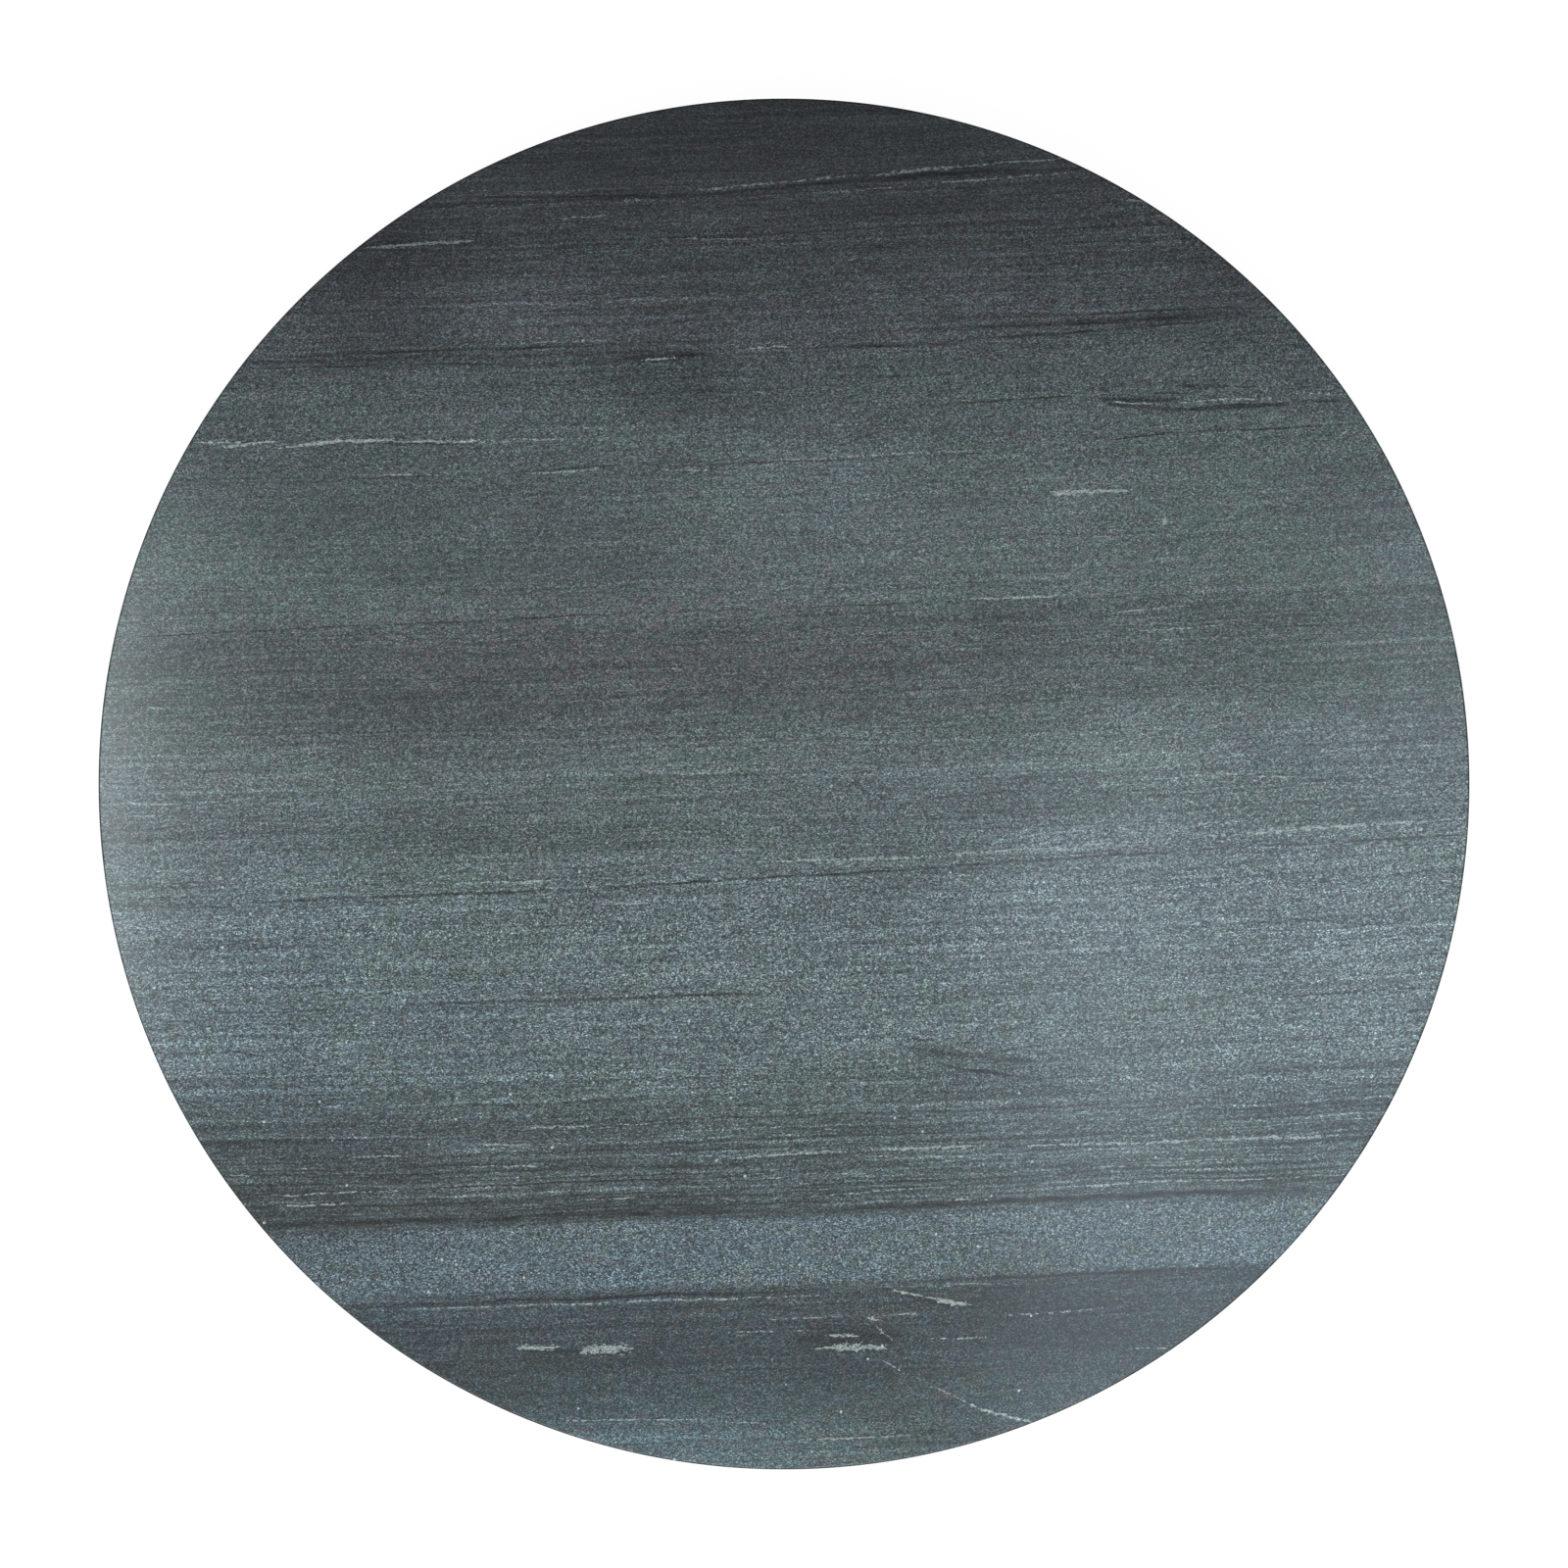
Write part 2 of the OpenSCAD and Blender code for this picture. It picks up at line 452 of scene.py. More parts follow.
# Quartz along the bedding, and in one crack across it: start, end, thickness and strength.
quartz_veins = [
    (-80, 388, 70, 401, 3, 0.55),
    (50, 399, 130, 406, 4, 0.6),
    (100, 403, 195, 412, 3, 0.5),
    (5, 386, 90, 394, 4, 0.25),
    (70, 392, 210, 403, 3, 0.45),
    (-125, 382, -70, 384, 4, 0.25),
    (219, 384, 240, 382, 2, 0.8),
    (-226, 389, -130, 388, 2, 0.3),
    (-245, 377, -120, 381, 3, 0.25),
    (-165, 370, -112, 373, 3, 0.4),
    (-282, 351, -200, 357, 3, 0.9),
    (-98, 358, 14, 358, 2, 0.4),
    (-200, 288, -100, 292, 4, 0.25),
    (-98, 278, -62, 279, 2, 0.7),
    (-28, 286, 8, 287, 2, 0.6),
    (-390, 224, -352, 225, 4, 0.6),
    (-372, 222, -332, 225, 3, 0.9),
    (-334, 220, -300, 224, 2, 0.8),
    (-320, 222, -286, 225, 3, 1.1),
    (-294, 225, -254, 225, 3, 1.0),
    (-262, 224, -180, 225, 3, 0.7),
    (-190, 225, -136, 227, 2, 0.5),
    (-285, 203, -208, 203, 2, 0.4),
    (-176, 204, -112, 206, 2, 0.6),
    (-82, 206, -40, 207, 2, 0.6),
    (-24, 212, 60, 215, 2, 0.5),
    (0, 213, 132, 219, 2, 0.5),
    (114, 215, 160, 216, 2, 0.5),
    (20, 235, 60, 237, 2, 0.4),
    (214, 251, 250, 250, 2, 0.7),
    (250, 250, 325, 254, 5, 0.4),
    (326, 256, 374, 257, 4, 0.35),
    (355, 230, 388, 230, 5, 0.35),
    (174, 191, 204, 192, 4, 1.1),
    (186, 191, 230, 193, 3, 1.0),
    (245, 173, 252, 172, 4, 0.9),
    (296, 167, 356, 168, 2, 0.4),
    (110, 120, 194, 124, 2, 0.75),
    (200, 111, 274, 118, 2, 0.5),
    (212, 98, 308, 106, 2, 0.45),
    (-104, 14, -66, 17, 2, 0.45),
    (-84, 5, -22, 9, 2, 0.5),
    (68, -11, 94, -9, 2, 0.4),
    (222, -1, 244, 0, 2, 0.5),
    (306, 5, 340, 5, 2, 0.7),
    (-418, 50, -402, 50, 2, 0.5),
    (-437, -13, -392, -13, 2, 0.8),
    (-395, -13, -333, -9, 2, 0.55),
    (-434, -21, -407, -21, 2, 0.6),
    (-90, -43, -68, -43, 2, 0.6),
    (-230, -66, -130, -63, 3, 0.5),
    (-30, -52, 125, -46, 5, 0.5),
    (90, -48, 270, -35, 6, 0.45),
    (250, -36, 460, -22, 6, 0.52),
    (-126, -79, -84, -78, 2, 0.6),
    (-302, -212, -288, -211, 2, 0.5),
    (-204, -207, -180, -207, 2, 0.5),
    (-172, -226, -120, -224, 2, 0.6),
    (-116, -223, -76, -223, 2, 0.4),
    (-212, -237, -162, -237, 2, 0.6),
    (-296, -245, -238, -244, 2, 0.6),
    (-214, -251, -150, -251, 2, 0.6),
    (-368, -257, -340, -257, 2, 0.7),
    (-344, -271, -236, -266, 2, 0.5),
    (-336, -277, -280, -275, 2, 0.7),
    (-220, -265, -160, -264, 2, 0.4),
    (-140, -274, -82, -271, 2, 0.5),
    (-45, -246, 50, -240, 2, 0.85),
    (48, -241, 142, -237, 3, 0.8),
    (134, -238, 390, -230, 3, 0.7),
    (-20, -259, 0, -258, 2, 0.5),
    (25, -256, 54, -256, 2, 0.5),
    (68, -249, 134, -246, 2, 0.4),
    (104, -256, 380, -245, 2, 0.4),
    (10, -271, 104, -264, 2, 0.5),
    (98, -273, 142, -273, 2, 0.5),
    (160, -265, 376, -256, 2, 0.6),
    (-292, -346, 60, -334, 2, 0.55),
    (80, -328, 165, -328, 2, 0.4),
    (-28, -352, 50, -349, 2, 0.5),
    (-48, -361, 26, -358, 2, 0.45),
    (62, -349, 92, -347, 2, 0.4),
    (90, -365, 140, -363, 2, 0.6),
    (130, -350, 230, -343, 2, 0.4),
    (224, -370, 258, -371, 2, 0.5),
    (-160, -417, -40, -417, 2, 0.6),
    (-50, -418, 8, -421, 2, 0.6),
    (-4, -431, 95, -427, 2, 0.6),
    (-179, -370, -145, -369, 5, 0.85),
    (-137, -372, -97, -370, 8, 0.88),
    (14, -370, 40, -370, 2, 0.9),
    (26, -370, 72, -369, 7, 0.88),
    (25, -362, 51, -362, 3, 0.8),
    (53, -350, 65, -352, 3, 0.7),
    (58, -353, 72, -366, 3, 0.6),
    (70, -332, 100, -338, 3, 0.75),
    (92, -337, 124, -342, 5, 0.88),
    (63, -378, 78, -386, 2, 0.6),
    (76, -386, 94, -391, 2, 0.45),
    (92, -392, 116, -404, 2, 0.7),
    (110, -402, 134, -412, 2, 0.6),
    (122, -408, 166, -420, 3, 0.95),
]

clay = nearest_of(clay_seams).between(1.0, 0.5)
# Painted shade: the colour of the eased edge is darkened to 40 %, fading out down the wall, on top of the
# clay seams; the same mask also roughens the edge.
arris_painted_shade = depth.between(0.0, 0.15) * depth.between(4.0, 1.5) * 0.6
seamed_and_edge_shaded = tone * (1.0 - clay * (0.56 + dashes * 0.6 + mottle * 1.0)) * (1.0 - arris_painted_shade)
ragged = streaks(x, bed, length=3.5, thickness=1.8, seed=101.0, detail=2.0) - 0.5
quartz = (nearest_of(quartz_veins) + dashes * 1.2 + ragged * 2.2).between(1.0, 0.45)

# Single bright specks, in the front half only: one in six of the cells has one.
speck_spacing = 9.0
speck_share = 0.16
speck_at = spot.scaled(1 / speck_spacing)
speck_cell = speck_at.node("ShaderNodeTexVoronoi", {}, {"Vector": speck_at, "Scale": 1.0})
chosen = speck_cell.other("Color").split()[0].math("LESS_THAN", speck_share)
speck = speck_cell.between(0.12, 0.08) * chosen * bed.between(20.0, -40.0)
whiteness = (quartz - vein_dice).between(0.0, 0.38).math("MAXIMUM", speck)
dusky = 1.0 - bed.between(280.0, 330.0) * 0.45
quartz_lightness = (0.19 + light_dice * 0.3) * dusky + speck * 0.12
lit = seamed_and_edge_shaded + (quartz_lightness - seamed_and_edge_shaded) * whiteness

# The tint of the beds, with a luminance of about 1: level, then red, green and blue.
bed_tints = [
    (-450, 0.66, 1.05, 1.17),
    (-400, 0.65, 1.05, 1.21),
    (-345, 0.69, 1.04, 1.25),
    (-286, 0.75, 1.04, 1.20),
    (-280, 0.76, 1.05, 1.13),
    (-200, 0.78, 1.05, 1.13),
    (-40, 0.81, 1.04, 1.12),
    (45, 0.82, 1.04, 1.09),
    (120, 0.82, 1.04, 1.10),
    (230, 0.81, 1.04, 1.12),
    (270, 0.82, 1.04, 1.14),
    (300, 0.87, 1.02, 1.17),
    (450, 0.86, 1.02, 1.18),
]
tints = bed_place.node("ShaderNodeValToRGB", {"stops": bed_stops(bed_tints)}, {0: bed_place})

# Parts of the stone lean to slate blue, moss green or plum.
slate_tint = (0.68, 1.03, 1.30, 1.0)
slate_share = patches([(-310, -175, 190, 200, 0.3)])
slated = slate_share.blend(tints, slate_tint)
moss_tint = (0.78, 1.08, 1.00, 1.0)
bloom = streaks(x, bed, length=11.0, thickness=8.0, seed=97.0, detail=2.0) - 0.5
moss_patches = streaks(x, bed, length=160.0, thickness=60.0, seed=71.0, detail=3.0).eased(0.42, 0.68)
moss_ovals = [(290, 150, 190, 190, 0.35), (-290, 170, 140, 150, 0.3)]
moss_share = moss_patches * 0.45 + patches(moss_ovals) + bloom * (1.4 + bed.between(60.0, -60.0))
mossy = moss_share.blend(slated, moss_tint)
plum_tint = (1.06, 0.98, 1.10, 1.0)
plum_ovals = [(-90, 85, 380, 60, 0.32), (-250, -262, 220, 45, 0.15), (0, -350, 320, 40, 0.1)]
plum_streaks = streaks(x, bed, length=45.0, thickness=9.0, seed=41.0, detail=2.0).eased(0.5, 0.8)
blush = streaks(x, bed, length=11.0, thickness=8.0, seed=83.0, detail=2.0) - 0.5
blush_share = 0.9 + bed.between(-60.0, 60.0) + bed.between(-325.0, -345.0)
plum_spots = (tint_dice - 0.4) * 0.25 - mottle * 0.3 + blush * blush_share
plum_share = plum_streaks * 0.15 + clay * 0.2 + patches(plum_ovals) + plum_spots
rock_tints = plum_share.blend(mossy, plum_tint)
quartz_tint = (0.90, 1.03, 1.02, 1.0)
stone_colour = whiteness.blend(rock_tints, quartz_tint).scaled(lit)
feed(stone_shader, "Base Color", stone_colour)

stone_roughness = 0.22 + tint_dice * 0.04 + dashes * 0.06 + arris_painted_shade
feed(stone_shader, "Roughness", stone_roughness)
polish = grain_at.node("ShaderNodeBump", {}, {"Height": dashes + grain * 0.2, "Distance": 0.00001})
feed(stone_shader, "Normal", polish)

# The disc: rings run from the middle of the face over the arris, down the wall and back to the middle.
slab_sizes = {
    "Radius": stone_radius,
    "Thickness": stone_thickness,
    "Arris": arris,
    "Back height": stone_low.z,
    "Nick depth": nick_depth,
}
radius, thickness, ease, back_height, nick = geometry_tree("stone_disc", slab_sizes)
rings = face_rings + 2 * arris_rings + wall_rings + back_rings


def turned_grid(first, rings, segments):
    """A sheet to be turned into a ring: its geometry, each point's ring and its angle."""
    sheet = first.node("GeometryNodeMeshGrid", {}, {"Vertices X": segments + 1, "Vertices Y": rings + 1})
    index = first.node("GeometryNodeInputIndex", {}, {})
    ring = index.math("MODULO", rings + 1)
    turn = (index - ring) * (-2 * math.pi / segments / (rings + 1))
    return sheet, ring, turn


def turned_shape(sheet, turn, reach, height):
    """The sheet with its points at their places round the axis, closed where its ends meet."""
    weld = 0.00001
    places = (reach * turn.math("COSINE")).joined(reach * turn.math("SINE"), height)
    spun = sheet.node("GeometryNodeSetPosition", {}, {"Geometry": sheet, "Position": places})
    return spun.node("GeometryNodeMergeByDistance", {}, {"Geometry": spun, "Distance": weld})


sheet, ring, turn = turned_grid(radius, rings, segments)
over = ring.between(0, face_rings)
down = ring.between(face_rings, face_rings + arris_rings) * (math.pi / 2)
wall = ring.between(face_rings + arris_rings, face_rings + arris_rings + wall_rings)
under = ring.between(rings - back_rings - arris_rings, rings - back_rings) * (math.pi / 2)
home = ring.between(rings - back_rings, rings)
spread = 1.0 - (1.0 - over) * (1.0 - over)
reach = (radius - ease) * spread + ease * down.math("SINE") - ease * (1.0 - under.math("COSINE"))
fall = ease * (1.0 - down.math("COSINE")) + (thickness - ease * 2.0) * wall + ease * under.math("SINE")
rim_x = turn.math("COSINE") * radius / nick_length
rim_y = turn.math("SINE") * radius / nick_length
rim = rim_x.joined(rim_y, fall / nick_length)
chips = rim.node("ShaderNodeTexNoise", {}, {"Vector": rim, "Scale": 1.0, "Detail": 1.0})
bite = chips.eased(0.66, 0.8) * nick * (down * 2.0).math("SINE")
height = back_height + thickness - fall - bite
closed = turned_shape(sheet, turn, reach * (1.0 - home) - bite, height)
smooth = closed.node("GeometryNodeSetShadeSmooth", {}, {"Geometry": closed})
stone_top = grown("stone_disc", smooth, slab_sizes, honed_stone)
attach(stone_top, "root")
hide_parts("stone_top")


# Mesh backing: an open net of glass fibre, laid in clear resin on the stone's back to hold it together.
# The strands of one direction lie under those of the other, and the resin's poured edge wavers a little.
# Most of it is behind the panel, and a border of it shows round the panel from below.

mesh_low, mesh_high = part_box("mesh_backing")
mesh_radius = mesh_high.x
resin_thickness = 0.0007
edge_waver = 0.0012
strand_pitch = 0.005
strand_width = 0.0012
strand_thickness = 0.00035
layer_step = 0.00015
strand_count = int((mesh_radius - strand_width) * 2 / strand_pitch)

glass_mesh, spot, mesh_shader = finish_of("glass_mesh")
x, y, z = spot.split()
above_panel = z - mesh_low.z * 1000
lower_layer = above_panel.math("LESS_THAN", 0.08)
upper_fibres = streaks(x, y, length=9.0, thickness=0.15, seed=3.0, detail=1.0)
lower_fibres = streaks(y, x, length=9.0, thickness=0.15, seed=5.0, detail=1.0)
fibres = upper_fibres + (lower_fibres - upper_fibres) * lower_layer
smears = streaks(x, y, length=35.0, thickness=28.0, seed=7.0, detail=3.0)
dark_glass, light_glass = (0.42, 0.43, 0.39, 1.0), (0.66, 0.67, 0.62, 1.0)
dark_resin, light_resin = (0.030, 0.034, 0.036, 1.0), (0.055, 0.060, 0.060, 1.0)
glass_colour = fibres.eased(0.3, 0.7).blend(dark_glass, light_glass)
resin_colour = smears.eased(0.35, 0.65).blend(dark_resin, light_resin)
resin_share = above_panel.between(0.2, 0.28)
feed(mesh_shader, "Base Color", resin_share.blend(glass_colour, resin_colour))
feed(mesh_shader, "Roughness", 0.42 + fibres * 0.2 - resin_share * (0.32 - smears * 0.2))
fibre_height = fibres * (1.0 - resin_share)
fibre_relief = fibres.node("ShaderNodeBump", {}, {"Height": fibre_height, "Distance": 0.00003})
feed(mesh_shader, "Normal", fibre_relief)

mesh_sizes = {
    "Radius": mesh_radius,
    "Base height": mesh_low.z,
    "Thickness": mesh_high.z - mesh_low.z,
    "Resin thickness": resin_thickness,
    "Edge waver": edge_waver,
    "Strand pitch": strand_pitch,
    "Strand width": strand_width,
    "Strand thickness": strand_thickness,
    "Layer step": layer_step,
}
radius, base, thickness, resin, waver, pitch, width, strand, step = geometry_tree("glass_mesh", mesh_sizes)
sheet, ring, turn = turned_grid(radius, rings=3, segments=360)
edge_waves = 24.0
edge_at = (turn.math("COSINE") * edge_waves).joined(turn.math("SINE") * edge_waves, 0.0)
edge_noise = edge_at.node("ShaderNodeTexNoise", {}, {"Vector": edge_at, "Scale": 1.0, "Detail": 2.0})
rim_reach = (radius - waver * edge_noise) * (1.0 - ring.between(2, 3))
resin_height = base + thickness - resin * ring.between(1, 2)
resin_disc = turned_shape(sheet, turn, rim_reach * ring.between(0, 1), resin_height)

rod_settings = {"fill_type": "NGON"}
rod = radius.node("GeometryNodeMeshCylinder", rod_settings, {"Vertices": 8, "Radius": 0.5, "Depth": 1.0})
lying = rod.node("GeometryNodeTransform", {}, {"Geometry": rod, "Rotation": (0, math.pi / 2, 0)})
strand_number = radius.node("GeometryNodeInputIndex", {}, {})
aside = (strand_number - (strand_count - 1) / 2) * pitch
clear = abs(aside) + width
length = (radius * radius - clear * clear).math("SQRT") * 2.0 - waver * 2.0


def strand_layer(low, turned):
    """All strands of one direction, with their undersides at this height."""
    places = low.node("ShaderNodeCombineXYZ", {}, {1: aside, 2: low + strand / 2.0})
    points = low.node("GeometryNodeMeshLine", {}, {"Count": strand_count})
    spread = points.node("GeometryNodeSetPosition", {}, {"Geometry": points, "Position": places})
    sockets = {"Points": spread, "Instance": lying, "Scale": length.joined(width, strand)}
    laid = spread.node("GeometryNodeInstanceOnPoints", {}, sockets)
    return laid.node("GeometryNodeTransform", {}, {"Geometry": laid, "Rotation": (0, 0, turned)})


net = resin_disc.beside(strand_layer(base, math.pi / 2), strand_layer(base + step, 0.0))
mesh_backing = grown("glass_net", net, mesh_sizes, glass_mesh)
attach(mesh_backing, "root")
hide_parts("mesh_backing")


# Support panel: a disc of birch plywood, glued under the mesh to carry the stone and to take the screws.
# It is cut round, its lower edge is planed to a long slope, and it is sealed with a thin clear lacquer.
# The slope cuts through the plies, which show as rings that change from side grain to end grain.

panel_low, panel_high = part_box("support_panel")
ply_count = 13
ply_thickness = (panel_high.z - panel_low.z) * 1000 / ply_count
glue_thickness = 0.16
sanded_off = 0.05

plywood, spot, panel_shader = finish_of("plywood")
x, y, z = spot.split()
ply_place = (z - panel_low.z * 1000 + sanded_off) / ply_thickness
ply = ply_place.math("FLOOR")
crossed = ply.math("MODULO", 2.0)
along = x + (y - x) * crossed
across = y + (x - y) * crossed
out = (x * x + y * y).math("SQRT")
on_face = z.between(0.12, 0.06)
end_grain = abs(along) / out * (1.0 - on_face)
figure_along, figure_across = along + ply * 211.0, across + ply * 57.0
figure = streaks(figure_along, figure_across, length=260.0, thickness=24.0, seed=3.0, detail=3.0)
year_rings = (figure * 46.0 + across / 14.0).math("SINE") * 0.5 + 0.5
veneer_streaks = streaks(along + ply * 97.0, across, length=70.0, thickness=1.6, seed=13.0, detail=3.0)
pores = streaks(along + ply * 31.0, across, length=7.0, thickness=0.35, seed=19.0, detail=1.0)
open_pores = pores.eased(0.62, 0.74)
end_cells = streaks(along + across, z, length=0.5, thickness=0.3, seed=29.0, detail=2.0)
side_grain = year_rings * 0.45 + veneer_streaks * 0.55
dark_side, light_side = (0.52, 0.36, 0.21, 1.0), (0.68, 0.51, 0.33, 1.0)
dark_end, light_end = (0.22, 0.13, 0.065, 1.0), (0.36, 0.23, 0.12, 1.0)
side_wood = side_grain.blend(dark_side, light_side)
end_wood = end_cells.eased(0.3, 0.7).blend(dark_end, light_end)
wood = end_grain.eased(0.15, 0.95).blend(side_wood, end_wood)
darkened = 1.0 - open_pores * (1.0 - end_grain) * 0.28
off_middle = abs(ply_place - ply - 0.5)
glue = (off_middle - 0.5 + glue_thickness / ply_thickness).between(0.0, 0.02) * (1.0 - on_face)
glue_colour = (0.085, 0.045, 0.022, 1.0)
feed(panel_shader, "Base Color", glue.blend(wood.scaled(darkened), glue_colour))
feed(panel_shader, "Roughness", 0.40 + veneer_streaks * 0.14 + end_grain * 0.16 + open_pores * 0.1)
wood_height = veneer_streaks * 0.4 - open_pores * (1.0 - end_grain) - glue * 0.5
wood_relief = wood_height.node("ShaderNodeBump", {}, {"Height": wood_height, "Distance": 0.00006})
feed(panel_shader, "Normal", wood_relief)
panel_shader.inputs["Coat Weight"].default_value = 0.25
panel_shader.inputs["Coat Roughness"].default_value = 0.3
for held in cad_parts["support_panel"].material_slots:
    held.material = plywood


# Threaded inserts: four brass sleeves, screwed into the panel from below, for the bolts of any base.
# Each is turned from bar: a flange that sits in its recess, a coarse thread outside, a bolt thread inside.
# A hexagon socket in the flange takes the key that drives it home.

insert_low, insert_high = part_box("threaded_inserts")
flange_radius = 0.009
flange_thickness = 0.0015
flange_chamfer = 0.0003
body_radius = 0.006
foot_radius = 0.00525
foot_length = 0.0015
insert_length = insert_high.z - insert_low.z
bore_radius = 0.0034
wood_pitch, wood_thread = 0.0025, 0.0008
bolt_pitch, bolt_thread = 0.00125, 0.0006
socket_width = 0.008
socket_depth = 0.004
insert_count = 4
circle_radius = (insert_high.x - flange_radius) * math.sqrt(2)
outer_rings, inner_rings = 72, 80
insert_segments = 60

insert_brass, spot, brass_shader = finish_of("insert_brass")
x, y, z = spot.split()
axis_place = circle_radius * 1000 / math.sqrt(2)
aside_x = abs(x) - axis_place
aside_y = abs(y) - axis_place
from_axis = (aside_x * aside_x + aside_y * aside_y).math("SQRT")
turning = streaks(from_axis, z, length=0.06, thickness=0.09, seed=3.0, detail=1.0)
stain = streaks(x + z, y - z, length=2.5, thickness=2.0, seed=5.0, detail=3.0).eased(0.35, 0.75)
crest_at = body_radius * 1000
root_at = (body_radius - wood_thread) * 1000
root = from_axis.between(crest_at - 0.15, root_at + 0.05) * from_axis.between(root_at - 0.4, root_at - 0.1)
dull = (stain * 0.6 + root * 0.5).between(0.0, 1.0)
bright_brass, dull_brass = (0.72, 0.53, 0.23, 1.0), (0.42, 0.28, 0.11, 1.0)
feed(brass_shader, "Base Color", dull.blend(bright_brass, dull_brass))
feed(brass_shader, "Roughness", 0.2 + turning * 0.16 + dull * 0.2)
turned_marks = turning.node("ShaderNodeBump", {}, {"Height": turning, "Distance": 0.000004})
feed(brass_shader, "Normal", turned_marks)
brass_shader.inputs["Metallic"].default_value = 1.0

insert_sizes = {
    "Flange radius": flange_radius,
    "Flange thickness": flange_thickness,
    "Chamfer": flange_chamfer,
    "Body radius": body_radius,
    "Foot radius": foot_radius,
    "Foot length": foot_length,
    "Length": insert_length,
    "Bore radius": bore_radius,
    "Socket width": socket_width,
    "Socket depth": socket_depth,
    "Circle radius": circle_radius,
    "Base height": insert_low.z,
}
wires = geometry_tree("threaded_insert", insert_sizes)
flange, flange_high, bevel, body, foot, foot_high, length, bore, socket, socket_high, circle, base = wires
first_thread = 3
flange_ring = first_thread + outer_rings
socket_ring = flange_ring + 5
bore_ring = socket_ring + 3
rings = bore_ring + inner_rings
sheet, ring, turn = turned_grid(flange, rings, insert_segments)
flat = (turn.math("FLOORED_MODULO", math.pi / 3) - math.pi / 6).math("COSINE")
hexagon = socket / 2.0 / flat
lower_face = flange * 0.0

# The outline of one insert: ring, distance from its axis and height over the flange's lower face.
outline = [
    (0, bore, length),
    (1, foot, length),
    (first_thread, body, length - foot_high),
    (flange_ring, body, flange_high),
    (flange_ring + 1, flange - bevel, flange_high),
    (flange_ring + 2, flange, flange_high - bevel),
    (flange_ring + 3, flange, bevel),
    (flange_ring + 4, flange - bevel, lower_face),
    (socket_ring, hexagon, lower_face),
    (socket_ring + 2, hexagon, socket_high),
    (bore_ring, bore, socket_high),
    (rings, bore, length),
]
reach, height = outline[0][1:]
for (start, near, low), (end, far, high) in zip(outline, outline[1:]):
    share = ring.between(start, end)
    reach = reach + share * (far - near)
    height = height + share * (high - low)


def thread(pitch, sharpness):
    """A screw thread's groove: 0 at the crest and 1 at the root, or the other way round inside a bore."""
    step = height / pitch + turn / (2 * math.pi)
    return (abs(step.math("FRACT") * 2.0 - 1.0) * sharpness).between(0.0, 1.0)


outside = ring.between(1, first_thread + 2) * ring.between(flange_ring, flange_ring - 3)
inside = ring.between(bore_ring, bore_ring + 3) * ring.between(rings, rings - 3)
wood_cut = thread(wood_pitch, sharpness=1.6) * outside * -wood_thread
cut = wood_cut + thread(bolt_pitch, sharpness=1.2) * inside * bolt_thread
shell = turned_shape(sheet, turn, reach + cut, base + height)
rounded = shell.node("GeometryNodeSetShadeSmooth", {}, {"Geometry": shell})
edge_angle = shell.node("GeometryNodeInputMeshEdgeAngle", {}, {})
sharp_angle = 0.6
soft_edge = edge_angle.math("LESS_THAN", sharp_angle)
crisp_sockets = {"Geometry": rounded, "Shade Smooth": soft_edge}
crisp = rounded.node("GeometryNodeSetShadeSmooth", {"domain": "EDGE"}, crisp_sockets)
ring_points = circle.node("GeometryNodeMeshCircle", {}, {"Vertices": insert_count, "Radius": circle})
insert_number = circle.node("GeometryNodeInputIndex", {}, {})
facing = circle.node("ShaderNodeCombineXYZ", {}, {2: insert_number * (2 * math.pi / insert_count)})
set_sockets = {"Points": ring_points, "Instance": crisp, "Rotation": facing}
seated = crisp.node("GeometryNodeInstanceOnPoints", {}, set_sockets)
quarter = (0, 0, math.pi / insert_count)
four = seated.node("GeometryNodeTransform", {}, {"Geometry": seated, "Rotation": quarter})
inserts = grown("brass_inserts", four, insert_sizes, insert_brass)
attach(inserts, "root")
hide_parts("threaded_inserts")


# Floor, lights and camera: a white sweep under soft boxes, seen from straight above.
# The boxes stand where the face mirrors them, so that its sheen rises to the front and to the sides.

floor_reach = 40.0
floor_height = -0.0003
floor_sides = [(-1, -1), (1, -1), (1, 1), (-1, 1)]
floor_corners = [(a * floor_reach, b * floor_reach, floor_height) for a, b in floor_sides]
floor_mesh = bpy.data.meshes.new("floor")
floor_mesh.from_pydata(floor_corners, [], [(0, 1, 2, 3)])
floor = bpy.data.objects.new("floor", floor_mesh)
bpy.context.scene.collection.objects.link(floor)

white_floor = bpy.data.materials.new("white_floor")
white_floor.use_nodes = True
floor_nodes = white_floor.node_tree.nodes
floor_nodes.clear()


def seen_directly(nodes, mirrored):
    """1 for rays from the camera, and this share for those that a shiny surface sends on."""
    path = Wire(nodes.new("ShaderNodeLightPath").outputs["Is Camera Ray"])
    return path.math("MAXIMUM", path.other("Is Glossy Ray") * mirrored)


floor_grey = (0.08, 0.08, 0.08, 1.0)
floor_white = 0.965
floor_seen = seen_directly(floor_nodes, mirrored=0.5)
matt = floor_seen.node("ShaderNodeBsdfDiffuse", {}, {"Color": floor_grey})
glow = floor_seen.node("ShaderNodeEmission", {}, {"Strength": floor_seen * floor_white})
both = matt.node("ShaderNodeAddShader", {}, {0: matt, 1: glow})
floor_out = floor_nodes.new("ShaderNodeOutputMaterial")
white_floor.node_tree.links.new(both.socket, floor_out.inputs["Surface"])
floor_mesh.materials.append(white_floor)


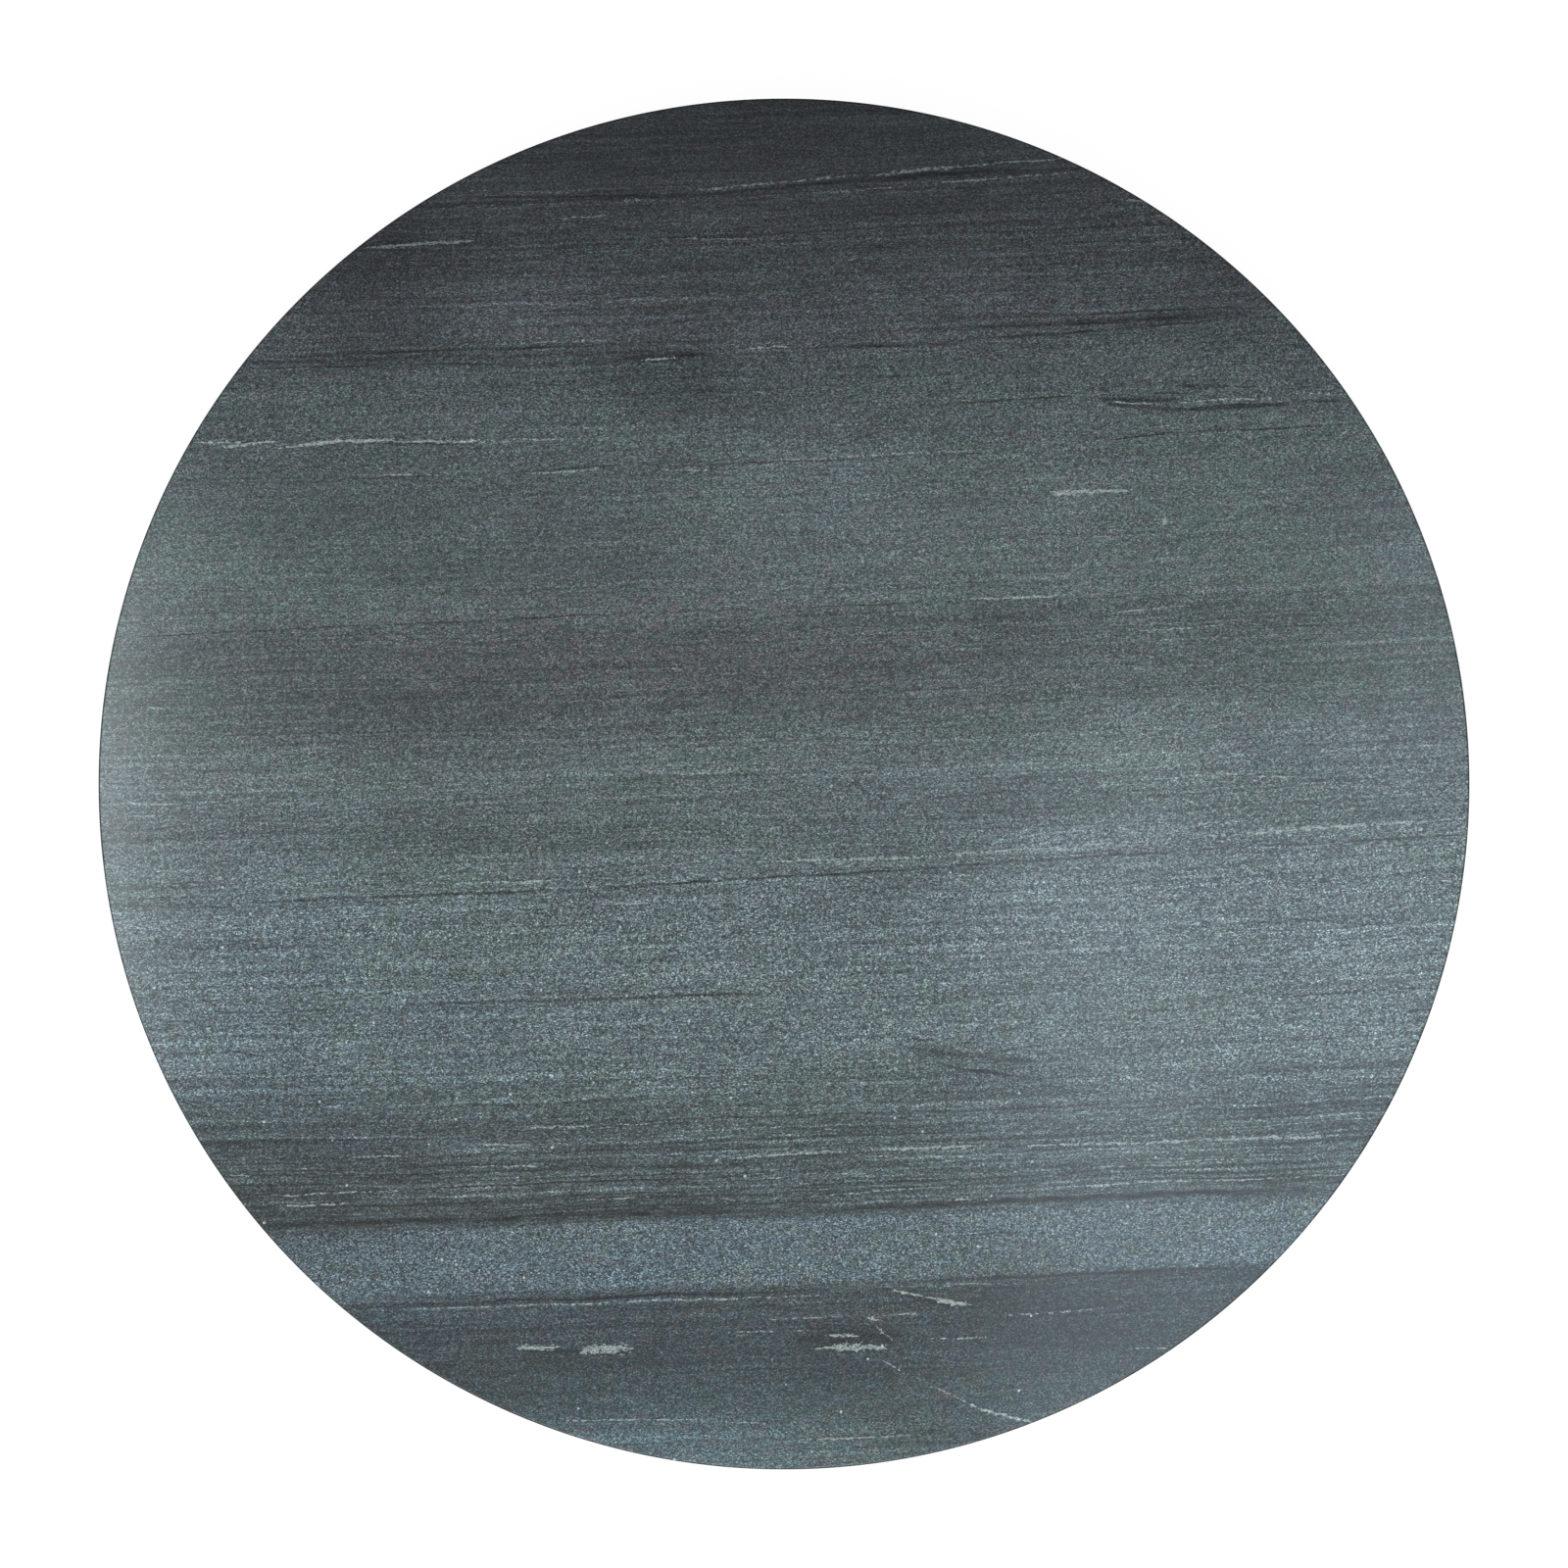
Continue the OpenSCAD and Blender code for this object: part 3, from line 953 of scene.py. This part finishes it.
def soft_box(name, at, aim, width, height, watts, colour):
    """A rectangular light at a point, turned to face another."""
    lamp = bpy.data.lights.new(name, "AREA")
    lamp.shape = "RECTANGLE"
    lamp.size = width
    lamp.size_y = height
    lamp.energy = watts
    lamp.color = colour
    box = bpy.data.objects.new(name, lamp)
    box.location = at
    box.rotation_euler = (Vector(aim) - Vector(at)).to_track_quat("-Z", "Y").to_euler()
    box.visible_camera = False
    bpy.context.scene.collection.objects.link(box)


hanging_height = 0.7


def hanging_box(name, at_x, at_y, width, height, watts, colour):
    """A soft box that hangs level above the face, which mirrors it."""
    soft_box(name, (at_x, at_y, hanging_height), (at_x, at_y, 0), width, height, watts, colour)


cool = (0.82, 1.0, 1.12)
pale = (0.88, 1.0, 1.04)
plain = (1.0, 1.0, 1.0)
soft_box("front_box", (0.1, -1.9, 2.4), (0, 0, 0), width=2.0, height=1.0, watts=42.5, colour=plain)
hanging_box("right_box", 0.278, -0.278, width=0.212, height=0.585, watts=0.73, colour=cool)
hanging_box("far_box", 0.512, -0.278, width=0.176, height=0.585, watts=0.61, colour=cool)
hanging_box("back_box", 0.54, 0.12, width=0.14, height=0.2, watts=0.14, colour=cool)
hanging_box("left_box", -0.637, -0.02, width=0.125, height=0.46, watts=1.65, colour=pale)

world = bpy.data.worlds.new("studio")
bpy.context.scene.world = world
world.use_nodes = True
world_nodes = world.node_tree.nodes
sky_y, sky_z = Wire(world_nodes.new("ShaderNodeTexCoord").outputs["Generated"]).split()[1:]
back_light, front_light = 0.24, 0.69
ceiling = back_light + sky_y.eased(0.13, -0.05) * (front_light - back_light)
low_wall = sky_z.eased(0.7, 0.3) * seen_directly(world_nodes, mirrored=0.0)
room = ceiling + (1.0 - ceiling) * low_wall
room_light = room.joined(room, room)
background = world_nodes["Background"]
world.node_tree.links.new(room_light.socket, background.inputs["Color"])

lens = bpy.data.cameras.new("camera")
lens.sensor_width = 36.0
lens.lens = 85.0
camera = bpy.data.objects.new("camera", lens)
disc_pixels, picture_pixels = 1398.8, 1600.0
frame_width = 2 * stone_radius * picture_pixels / disc_pixels
camera.location = (0, 0, stone_high.z - arris + frame_width * lens.lens / lens.sensor_width)
bpy.context.scene.collection.objects.link(camera)
bpy.context.scene.camera = camera
bpy.context.scene.view_settings.view_transform = "Standard"
